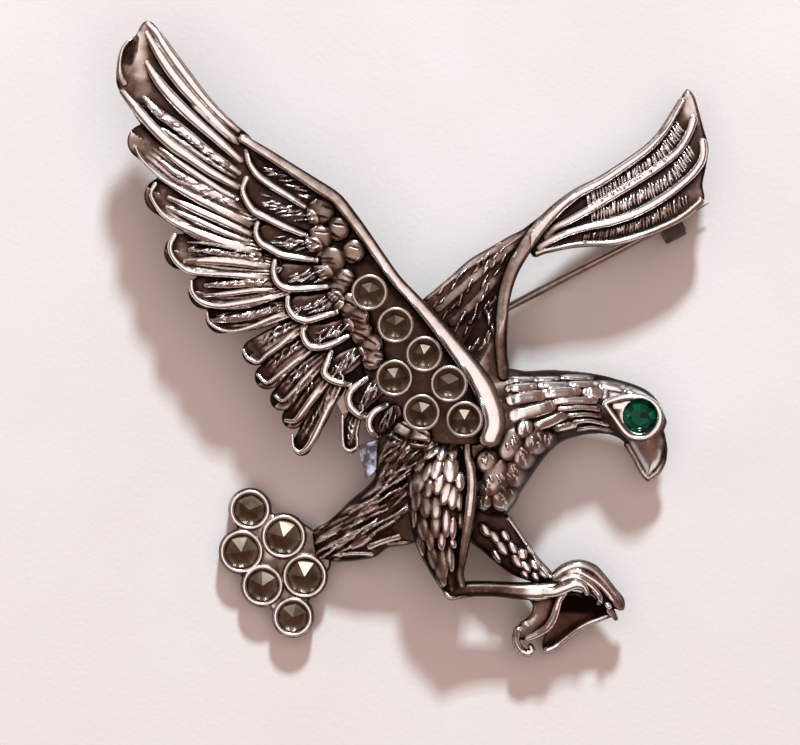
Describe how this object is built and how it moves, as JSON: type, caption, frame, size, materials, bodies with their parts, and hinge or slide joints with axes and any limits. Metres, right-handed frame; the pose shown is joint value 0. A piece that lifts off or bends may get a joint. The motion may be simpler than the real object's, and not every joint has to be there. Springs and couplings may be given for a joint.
{
  "type": "brooch",
  "caption": "Eagle brooch of cast oxidised silver with marcasites in collets, a green faceted eye, and a hinged pin with a rotating safety catch.",
  "frame": {"origin": "centre of the brooch's bounding box, on the surface that it rests on with its face up", "axes": "+Z out of the front face; +Y towards the raised wing tips; +X the way the head looks"},
  "size_m": [0.0506, 0.0536, 0.0106],
  "materials": {
    "cast_silver": "cast sterling silver, oxidised in the recesses and polished on the ridges",
    "setting_silver": "worn sterling silver",
    "finding_silver": "drawn and turned silver findings",
    "marcasite": "faceted pyrite, polished, metallic",
    "green_stone": "faceted, polished"
  },
  "bodies": {
    "bird": {"body": "cast_silver", "near_wing": "cast_silver", "far_wing": "cast_silver", "near_leg": "cast_silver", "far_leg": "cast_silver", "wing_brace": "cast_silver", "tail_plate": "setting_silver", "eye_bezel": "setting_silver", "eye_stone": "green_stone", "wing_collet_1": "setting_silver", "wing_collet_2": "setting_silver", "wing_collet_3": "setting_silver", "wing_collet_4": "setting_silver", "wing_collet_5": "setting_silver", "wing_collet_6": "setting_silver", "wing_collet_7": "setting_silver", "wing_marcasite_1": "marcasite", "wing_marcasite_2": "marcasite", "wing_marcasite_3": "marcasite", "wing_marcasite_4": "marcasite", "wing_marcasite_5": "marcasite", "wing_marcasite_6": "marcasite", "wing_marcasite_7": "marcasite", "tail_marcasite_1": "marcasite", "tail_marcasite_2": "marcasite", "tail_marcasite_3": "marcasite", "tail_marcasite_4": "marcasite", "tail_marcasite_5": "marcasite", "tail_marcasite_6": "marcasite", "joint_base": "finding_silver", "joint_rivet": "finding_silver", "catch_housing": "finding_silver"},
    "pin": {"pin_stem": "finding_silver"},
    "rotor": {"catch_rotor": "finding_silver"}
  },
  "joints": [
    {"name": "pin_hinge", "type": "hinge", "parent": "bird", "child": "pin", "pos_m": [-0.00534, -0.00416, 0.0015], "axis": [-0.4617, 0.887, 0], "range_deg": [0, 95]},
    {"name": "catch_turn", "type": "hinge", "parent": "bird", "child": "rotor", "pos_m": [0.02181, 0.00997, 0.0015], "axis": [0.887, 0.4617, 0], "range_deg": [0, 90]}
  ]
}
